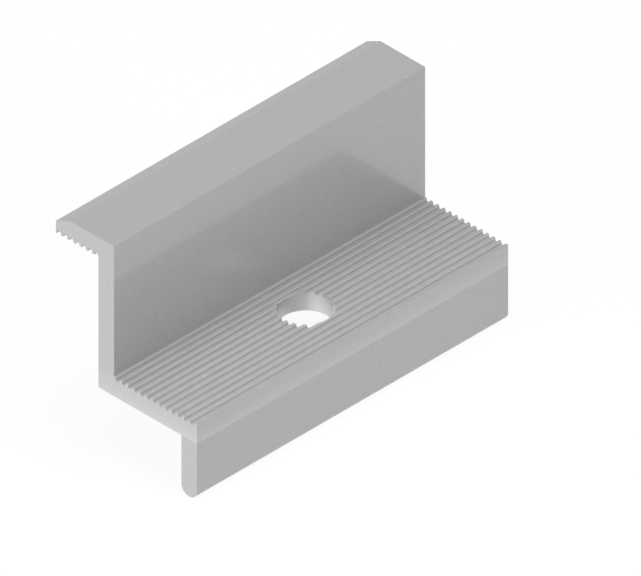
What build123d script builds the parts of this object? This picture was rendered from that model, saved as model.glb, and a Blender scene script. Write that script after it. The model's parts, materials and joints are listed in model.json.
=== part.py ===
from build123d import *
import os

# Solar end clamp: a length of extruded aluminium with a Z-shaped section.
# The hook at the top grips the edge of a panel frame, the flange below it takes the bolt,
# and the leg at the front stands the clamp off the rail.
# X runs from the panel side to the leg side, Y along the extrusion and Z up.
# The origin is on the bolt's axis, level with the flange's underside.

# Driving dimensions of the section, in millimetres
clamp_height = 25.0        # flange's underside to the hook's flat top
wall_thickness = 3.0       # upright wall between hook and flange
hook_reach = 8.2           # hook's tip beyond the wall's outer face
hook_thickness = 3.3       # hook's flat top to the tips of its teeth
hook_bevel_reach = 2.6     # sloping top of the hook's tip, along X
hook_bevel_drop = 1.3      # and down Z
flange_reach = 16.0        # wall's inner face to the flange's front face
flange_thickness = 3.3     # flange's underside to the crests of its ribs
leg_thickness = 3.0        # its foot is rounded by half of this
leg_drop = 9.5             # flange's underside to the foot's lowest line

# Grooves along the flange's top, which keep the bolt's washer from slipping,
# and under the hook, whose teeth bite the panel frame
groove_pitch = 1.2
groove_mouth = 0.86
groove_depth = 0.55
groove_root_radius = 0.12
groove_edge_radius = 0.15
flange_edge_land = 0.45      # plain strip left along the flange's front edge
flange_groove_lean = 0.12    # how far the flank on the wall's side leans in, from mouth to floor
flange_groove_slope = 0.35   # and the flank on the front's side
hook_groove_lean = 0.2       # both flanks

# Length of the extrusion and the hole drilled through its flange
clamp_length = 60.0
bolt_hole_diameter = 8.0   # clearance for the clamp's bolt
bolt_hole_offset = 7.0     # wall's inner face to the bolt's axis

# Planes of the section, worked out from the sizes above
wall_inner = -bolt_hole_offset
wall_outer = wall_inner - wall_thickness
hook_tip = wall_outer - hook_reach
hook_underside = clamp_height - hook_thickness
flange_front = wall_inner + flange_reach
leg_inner = flange_front - leg_thickness
foot_radius = leg_thickness / 2
foot_centre = foot_radius - leg_drop


def outer_section():
    """The section before its grooves are cut: hook, wall, flange, and leg with a round foot."""
    with BuildSketch(Plane.XZ) as section:
        with BuildLine():
            Polyline(
                (leg_inner, foot_centre),
                (leg_inner, 0),
                (wall_outer, 0),
                (wall_outer, hook_underside),
                (hook_tip, hook_underside),
                (hook_tip, clamp_height - hook_bevel_drop),
                (hook_tip + hook_bevel_reach, clamp_height),
                (wall_inner, clamp_height),
                (wall_inner, flange_thickness),
                (flange_front, flange_thickness),
                (flange_front, foot_centre),
            )
            ThreePointArc(
                (flange_front, foot_centre),
                (flange_front - foot_radius, -leg_drop),
                (leg_inner, foot_centre),
            )
        make_face()
    return section.sketch


def groove_section(left, right, surface, depth, left_lean, right_lean):
    """A groove between two mouth edges, its flanks leaning in to a rounded floor.

    A negative depth cuts upwards.
    """
    with BuildSketch(Plane.XZ) as groove:
        with BuildLine():
            # The flanks are carried on past the surface by as much again, so that they cut cleanly
            flanks = FilletPolyline(
                (left - left_lean, surface + depth),
                (left + left_lean, surface - depth),
                (right - right_lean, surface - depth),
                (right + right_lean, surface + depth),
                radius=groove_root_radius,
            )
            Line(flanks @ 1, flanks @ 0)
        make_face()
    return groove.sketch


def flange_grooves():
    """Grooves stepped back from the flange's front edge, as many as fit whole before the wall."""
    first_right = flange_front - flange_edge_land
    room = flange_reach - flange_edge_land - groove_mouth
    count = int(room / groove_pitch) + 1
    rights = [first_right - step * groove_pitch for step in range(count)]
    return [
        groove_section(
            right - groove_mouth,
            right,
            flange_thickness,
            groove_depth,
            flange_groove_lean,
            flange_groove_slope,
        )
        for right in rights
    ]


def hook_grooves():
    """Grooves stepped in from the hook's tip; the last one is as wide as the wall leaves it."""
    half_tooth = (groove_pitch - groove_mouth) / 2
    first_left = hook_tip + half_tooth
    least_mouth = 2 * (hook_groove_lean + groove_root_radius)
    count = int((hook_reach - half_tooth - least_mouth) / groove_pitch) + 1
    lefts = [first_left + step * groove_pitch for step in range(count)]
    with BuildSketch(Plane.XZ) as under_hook:
        with Locations((wall_outer, hook_underside)):
            Rectangle(2 * hook_reach, hook_thickness, align=(Align.MAX, Align.CENTER))
    return [
        groove_section(
            left,
            min(left + groove_mouth, wall_outer),
            hook_underside,
            -groove_depth,
            hook_groove_lean,
            hook_groove_lean,
        )
        & under_hook.sketch
        for left in lefts
    ]


def rounded_edges(section, level, left, right):
    """The section with the mouths of its grooves rounded, at one level and between two ends."""
    margin = groove_pitch / 100
    mouths = [
        corner
        for corner in section.vertices()
        if abs(corner.Z - level) < margin and left + margin < corner.X < right - margin
    ]
    return fillet(mouths, groove_edge_radius)


def clamp_body():
    """The grooved section drawn out to the clamp's length, with the bolt hole drilled through."""
    section = outer_section()
    for groove in flange_grooves() + hook_grooves():
        section -= groove
    section = rounded_edges(section, flange_thickness, wall_inner, flange_front)
    section = rounded_edges(section, hook_underside, hook_tip, wall_outer)
    body = extrude(section, clamp_length / 2, both=True)
    drill = Cylinder(bolt_hole_diameter / 2, 3 * flange_thickness)
    return body - drill


os.makedirs("parts", exist_ok=True)
export_step(clamp_body(), "parts/clamp_body.step")
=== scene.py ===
import json
from math import pi

import bpy
from mathutils import Matrix, Vector


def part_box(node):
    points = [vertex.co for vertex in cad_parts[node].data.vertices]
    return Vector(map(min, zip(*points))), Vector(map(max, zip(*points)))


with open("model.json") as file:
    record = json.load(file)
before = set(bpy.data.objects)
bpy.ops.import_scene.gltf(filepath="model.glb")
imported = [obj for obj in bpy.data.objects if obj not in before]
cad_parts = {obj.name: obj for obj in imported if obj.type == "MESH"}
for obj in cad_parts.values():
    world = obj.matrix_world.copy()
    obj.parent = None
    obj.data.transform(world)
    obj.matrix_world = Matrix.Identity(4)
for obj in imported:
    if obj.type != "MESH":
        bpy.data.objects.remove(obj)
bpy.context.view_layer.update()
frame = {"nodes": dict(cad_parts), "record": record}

# Lengths are in millimetres here, and METRE turns them into the frame's metres
METRE = 0.001

# Places on the clamp: X from the hook to the leg, Y along the extrusion, Z up
clamp = frame["nodes"]["clamp_body"]
lowest, highest = (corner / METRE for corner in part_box("clamp_body"))
mounts = {mount["name"]: mount for mount in frame["record"]["mounts"]}
half_length = highest.y
foot_level = lowest.z
flange_front = highest.x
wall_outer = mounts["frame_side_face"]["pos_m"][0] / METRE
wall_thickness = 3.0
wall_inner = wall_outer + wall_thickness
flange_underside = mounts["bolt_hole"]["pos_m"][2] / METRE
flange_thickness = 3.3
flange_top = flange_underside + flange_thickness
groove_depth = 0.55
bore_radius = mounts["bolt_hole"]["dims"]["r_mm"]
skin = 0.01              # a point this near to a face counts as on it

# Camera: an isometric parallel view from the leg's side, above the near end
view_back = Vector((1, -1, 1)).normalized()
view_right = Vector((1, 1, 0)).normalized()
view_up = view_back.cross(view_right)
view_width = 87.4
aim_right = 1.995
aim_up = 5.36
camera_distance = 300

# Satin metal and the clear oxide over it
metal_tone = 0.55
metal_share = 0.2
satin_roughness = 0.3
oxide_weight = 0.68
oxide_roughness = 0.02
oxide_index = 1.5

# Painted light on the flange's edge and ends: paler towards its underside
band_painted_light_low = 0.185
band_painted_light_high = 0.045

# Ribs, duller than the rest, with painted light that makes them paler towards the flange's front and its
# near end.
# A painted highlight brightens their edges and painted shade darkens the flanks of their grooves, each
# between four depths, as shares of a groove's depth: where it starts, is full, starts to fade and ends.
# Painted shade darkens their crests, most of all at the far end, and that fades out between two such
# depths.
rib_metal_share = 0.14
rib_roughness = 0.5
rib_painted_light_front = 0.1
rib_painted_light_near = 0.05
highlight_gain = 0.09
highlight_depths = (0.0, 0.12, 0.25, 0.45)
shade_loss = 0.085
shade_depths = (0.3, 0.5, 0.85, 0.98)
crest_shade = 0.06
crest_shade_far = 0.1
crest_depths = (0.0, 0.12)

# Bore, bare where the drill cut through the oxide, with painted light: brightest on the leg's side, and
# elsewhere brighter towards its lower edge and along the middle of its wall. That line is between four
# places across the
# hole, in the same order, and they and the two places of the leg's side are shares of its radius.
bore_tone = 0.6
bore_light_low = 0.32
bore_light_line = 0.43
bore_line = (-1.0, -0.3, 0.3, 1.05)
bore_leg_light = 0.93
bore_leg_side = (0.25, 0.75)
bore_metal_share = 0.5
bore_roughness = 0.4

# Marks of making: die lines along the extrusion, saw arcs on its ends, drill rings and an etched grain.
# A depth here is the swing in tone, as a share of it.
streak_detail = 2.0
die_line_width = 0.12
die_line_length = 40
die_line_depth = 0.03
saw_centre_x = -70
saw_centre_z = 45
saw_arc_width = 0.2
saw_arc_depth = 0.03
drill_ring_width = 0.12
drill_ring_depth = 0.08
grain_size = 0.12
grain_depth = 0.02
roughness_swing = 0.06
mark_height = 0.02

# Floor and sky
floor_size = 900
floor_tone = 0.8
floor_glow = 0.92
floor_shadow = 0.15
sky_glow = 1.0

# Lamps: the way to each from the clamp, and its level
top_way = (0, 0, 1)
top_level = 0.382
end_way = (0, -1, 0.3)
end_level = 0.742
side_way = (1, 0.3, 0.6)
side_level = 0.374
lamp_distance = 1500
lamp_size = 900


class Value:
    """A shader socket that Python's arithmetic works on, through Math nodes."""

    def __init__(self, finish, socket):
        self.finish = finish
        self.socket = socket

    def math(self, operation, *others):
        sockets = dict(enumerate([self, *others]))
        return self.finish.node("ShaderNodeMath", {"operation": operation}, sockets)

    def __add__(self, other):
        return self.math("ADD", other)

    def __sub__(self, other):
        return self.math("SUBTRACT", other)

    def __mul__(self, other):
        return self.math("MULTIPLY", other)

    def __truediv__(self, other):
        return self.math("DIVIDE", other)

    def __pow__(self, other):
        return self.math("POWER", other)

    def __gt__(self, other):
        return self.math("GREATER_THAN", other)

    def __lt__(self, other):
        return self.math("LESS_THAN", other)

    def __abs__(self):
        return self.math("ABSOLUTE")

    def __rsub__(self, other):
        return self.finish.node("ShaderNodeMath", {"operation": "SUBTRACT"}, {0: other, 1: self})

    __radd__ = __add__
    __rmul__ = __mul__


class Finish:
    """A tree of shader nodes, of a material or the world."""

    def __init__(self, owner):
        owner.use_nodes = True
        self.tree = owner.node_tree
        self.tree.nodes.clear()

    def node(self, kind, settings, sockets, output=0):
        """Adds a node, with its settings first and then its sockets' values or links."""
        made = self.tree.nodes.new(kind)
        for name, setting in settings.items():
            setattr(made, name, setting)
        for key, value in sockets.items():
            if isinstance(value, Value):
                self.tree.links.new(value.socket, made.inputs[key])
            else:
                made.inputs[key].default_value = value
        if made.outputs:
            return Value(self, made.outputs[output])
        return None

    def blend(self, low, high, value):
        """0 below low, 1 above high and a smooth rise between them."""
        ends = {"Value": value, "From Min": low, "From Max": high}
        return self.node("ShaderNodeMapRange", {"interpolation_type": "SMOOTHSTEP"}, ends)

    def hill(self, start, full, fade, end, value):
        """0 before start, 1 from full to fade and 0 after end, with smooth sides."""
        return self.blend(start, full, value) * (1 - self.blend(fade, end, value))

    def streaks(self, x, y, z):
        """A soft random pattern about 0, a unit wide in the place that x, y and z make."""
        place = self.node("ShaderNodeCombineXYZ", {}, {"X": x, "Y": y, "Z": z})
        pattern = {"Vector": place, "Scale": 1.0, "Detail": streak_detail}
        return self.node("ShaderNodeTexNoise", {"noise_dimensions": "3D"}, pattern, "Fac") - 0.5

    def grain(self, place, size):
        """A random value about 0 for each cube of the given size."""
        cells = self.node("ShaderNodeVectorMath", {"operation": "SCALE"}, {0: place, "Scale": 1 / size})
        corner = self.node("ShaderNodeVectorMath", {"operation": "FLOOR"}, {0: cells})
        return self.node("ShaderNodeTexWhiteNoise", {"noise_dimensions": "3D"}, {"Vector": corner}) - 0.5


def grey(tone):
    """An opaque grey."""
    return (tone, tone, tone, 1.0)


def rib_painted_light(finish, x, y, z):
    """What is added to the tone of the flange's ribs, as a share of it.

    It is the painted highlight on the edges, less the painted shade on the flanks and crests, plus
    painted light that rises smoothly from the wall to the flange's front and straight from the far end
    to the near end.
    """
    depth = (flange_top - z) / groove_depth
    farness = y / (2 * half_length) + 0.5
    edge_light = highlight_gain * finish.hill(*highlight_depths, depth)
    shaded = shade_loss * finish.hill(*shade_depths, depth)
    crest_shaded = (crest_shade + crest_shade_far * farness) * (1 - finish.blend(*crest_depths, depth))
    forward = rib_painted_light_front * finish.blend(wall_inner, flange_front, x)
    return edge_light - shaded - crest_shaded + forward + rib_painted_light_near * (1 - farness)


def bore_painted_light(finish, x, y, height):
    """The painted light on the bore's wall.

    It rises to the wall's lower edge and along a line of it, placed across the hole on the diagonal of
    X and Y, and turns into the painted light of the leg's side as X grows.
    """
    across = (x + y) / (bore_radius * 2 ** 0.5)
    gain = bore_light_line * finish.hill(*bore_line, across) + bore_light_low * (1 - 2 * height)
    leg_side = finish.blend(*bore_leg_side, x / bore_radius)
    return bore_tone * (1 + gain) * (1 - leg_side) + bore_leg_light * leg_side


def satin_aluminium():
    """Extruded aluminium under a clear oxide, with the marks of its die, its saw and its drill, and
    painted light and shade on its flange, ribs and bore.
    """
    material = bpy.data.materials.new("satin_aluminium")
    finish = Finish(material)
    place = finish.node("ShaderNodeTexCoord", {}, {}, "Object")
    x, y, z = (
        finish.node("ShaderNodeSeparateXYZ", {}, {"Vector": place}, axis) / METRE for axis in "XYZ"
    )

    # Masks: 1 on the faces that each is named for, and 0 elsewhere
    sawn = abs(y) > half_length - skin
    bored = (x * x + y * y) ** 0.5 < bore_radius + skin
    bored = bored * (z > flange_underside - skin) * (z < flange_top + skin)
    drawn = (1 - sawn) * (1 - bored)
    band = (z > flange_underside + skin) * (z < flange_top + skin) * (x > wall_outer + skin)
    ribbed = band * drawn * (z > flange_top - groove_depth - skin)
    ribbed = ribbed * (x > wall_inner - skin) * (x < flange_front - skin)

    # Marks of making
    saw_radius = ((x - saw_centre_x) ** 2 + (z - saw_centre_z) ** 2) ** 0.5
    die_lines = finish.streaks(x / die_line_width, y / die_line_length, z / die_line_width)
    saw_arcs = finish.streaks(saw_radius / saw_arc_width, 0.0, 0.0)
    drill_rings = finish.streaks(0.0, 0.0, z / drill_ring_width)
    grain = finish.grain(place, grain_size * METRE)
    marks = die_line_depth * drawn * die_lines
    marks = marks + saw_arc_depth * sawn * saw_arcs
    marks = marks + drill_ring_depth * bored * drill_rings

    # Tone with its painted light and shade, metal and roughness
    height = (z - flange_underside) / flange_thickness
    # Painted light, paler towards the underside, on the flange's edge and ends; then painted light and
    # shade on the ribs
    gain = 1 + band * (band_painted_light_high + (band_painted_light_low - band_painted_light_high) * (1 - height) ** 2)
    gain = gain + ribbed * rib_painted_light(finish, x, y, z)
    # The bore's tone is bare metal with painted light on it
    tone = metal_tone * gain * (1 - bored) + bore_painted_light(finish, x, y, height) * bored
    metal = metal_share + (rib_metal_share - metal_share) * ribbed
    metal = metal + (bore_metal_share - metal_share) * bored
    roughness = satin_roughness + (rib_roughness - satin_roughness) * ribbed
    roughness = roughness + (bore_roughness - satin_roughness) * bored
    sockets = {
        "Base Color": tone * (1 + marks + grain_depth * grain),
        "Metallic": metal,
        "Roughness": roughness + roughness_swing * grain,
        "Specular IOR Level": 0.0,
        "Normal": finish.node("ShaderNodeBump", {}, {"Height": marks, "Distance": mark_height * METRE}),
        "Coat Weight": oxide_weight * (1 - ribbed) * (1 - bored),
        "Coat Roughness": oxide_roughness,
        "Coat IOR": oxide_index,
    }
    surface = finish.node("ShaderNodeBsdfPrincipled", {}, sockets)
    finish.node("ShaderNodeOutputMaterial", {}, {"Surface": surface})
    return material


def seen_rays(finish):
    """1 on rays from the camera, a glossy surface or glass, 0 on the light's other rays."""
    camera_ray = finish.node("ShaderNodeLightPath", {}, {}, "Is Camera Ray")
    glossy_ray = finish.node("ShaderNodeLightPath", {}, {}, "Is Glossy Ray")
    clear_ray = finish.node("ShaderNodeLightPath", {}, {}, "Is Transmission Ray")
    return camera_ray.math("MAXIMUM", glossy_ray).math("MAXIMUM", clear_ray)


def white_floor():
    """A floor that is seen white with a faint shadow, and through which the clamp shows from below."""
    material = bpy.data.materials.new("white_floor")
    finish = Finish(material)
    matt = finish.node("ShaderNodeBsdfDiffuse", {}, {"Color": grey(floor_tone)})
    glow = finish.node("ShaderNodeEmission", {}, {"Color": grey(1.0), "Strength": floor_glow})
    shaded = finish.node("ShaderNodeBsdfDiffuse", {}, {"Color": grey(floor_tone * floor_shadow)})
    white = finish.node("ShaderNodeAddShader", {}, {0: shaded, 1: glow})
    front = finish.node("ShaderNodeMixShader", {}, {0: seen_rays(finish), 1: matt, 2: white})
    clear = finish.node("ShaderNodeBsdfTransparent", {}, {})
    below = finish.node("ShaderNodeNewGeometry", {}, {}, "Backfacing")
    surface = finish.node("ShaderNodeMixShader", {}, {0: below, 1: front, 2: clear})
    finish.node("ShaderNodeOutputMaterial", {}, {"Surface": surface})
    return material


def floor():
    """A flat square at the level of the clamp's foot."""
    reach = floor_size / 2 * METRE
    level = foot_level * METRE
    corners = [
        (-reach, -reach, level),
        (reach, -reach, level),
        (reach, reach, level),
        (-reach, reach, level),
    ]
    mesh = bpy.data.meshes.new("floor")
    mesh.from_pydata(corners, [], [(0, 1, 2, 3)])
    made = bpy.data.objects.new("floor", mesh)
    bpy.context.scene.collection.objects.link(made)
    mesh.materials.append(white_floor())
    return made


def pale_world():
    """A sky that is seen white and lights nothing by itself: the lamps do that."""
    world = bpy.data.worlds.new("pale_world")
    bpy.context.scene.world = world
    finish = Finish(world)
    sky = {"Color": grey(1.0), "Strength": sky_glow * seen_rays(finish)}
    finish.node("ShaderNodeOutputWorld", {}, {"Surface": finish.node("ShaderNodeBackground", {}, sky)})


def soft_lamp(name, way, level):
    """A far square lamp. At level 1 it gives white paper that faces it a tone of 1."""
    lamp = bpy.data.lights.new(name, "AREA")
    lamp.shape = "SQUARE"
    lamp.size = lamp_size * METRE
    lamp.energy = level * (pi * lamp_distance * METRE) ** 2
    made = bpy.data.objects.new(name, lamp)
    bpy.context.scene.collection.objects.link(made)
    away = Vector(way).normalized()
    made.location = away * lamp_distance * METRE
    made.rotation_mode = "QUATERNION"
    made.rotation_quaternion = away.to_track_quat("Z", "Y")
    made.visible_glossy = False


def camera():
    """The parallel view that the photograph has."""
    data = bpy.data.cameras.new("camera")
    data.type = "ORTHO"
    data.ortho_scale = view_width * METRE
    made = bpy.data.objects.new("camera", data)
    bpy.context.scene.collection.objects.link(made)
    aim = view_right * aim_right + view_up * aim_up
    turn = Matrix((view_right, view_up, view_back)).transposed()
    place = Matrix.Translation((aim + view_back * camera_distance) * METRE)
    made.matrix_world = place @ turn.to_4x4()
    bpy.context.scene.camera = made


# The clamp
clamp.data.materials.clear()
clamp.data.materials.append(satin_aluminium())

# What it is seen on, by and from
floor()
pale_world()
soft_lamp("top_lamp", top_way, top_level)
soft_lamp("end_lamp", end_way, end_level)
soft_lamp("side_lamp", side_way, side_level)
camera()
bpy.context.scene.view_settings.view_transform = "Standard"
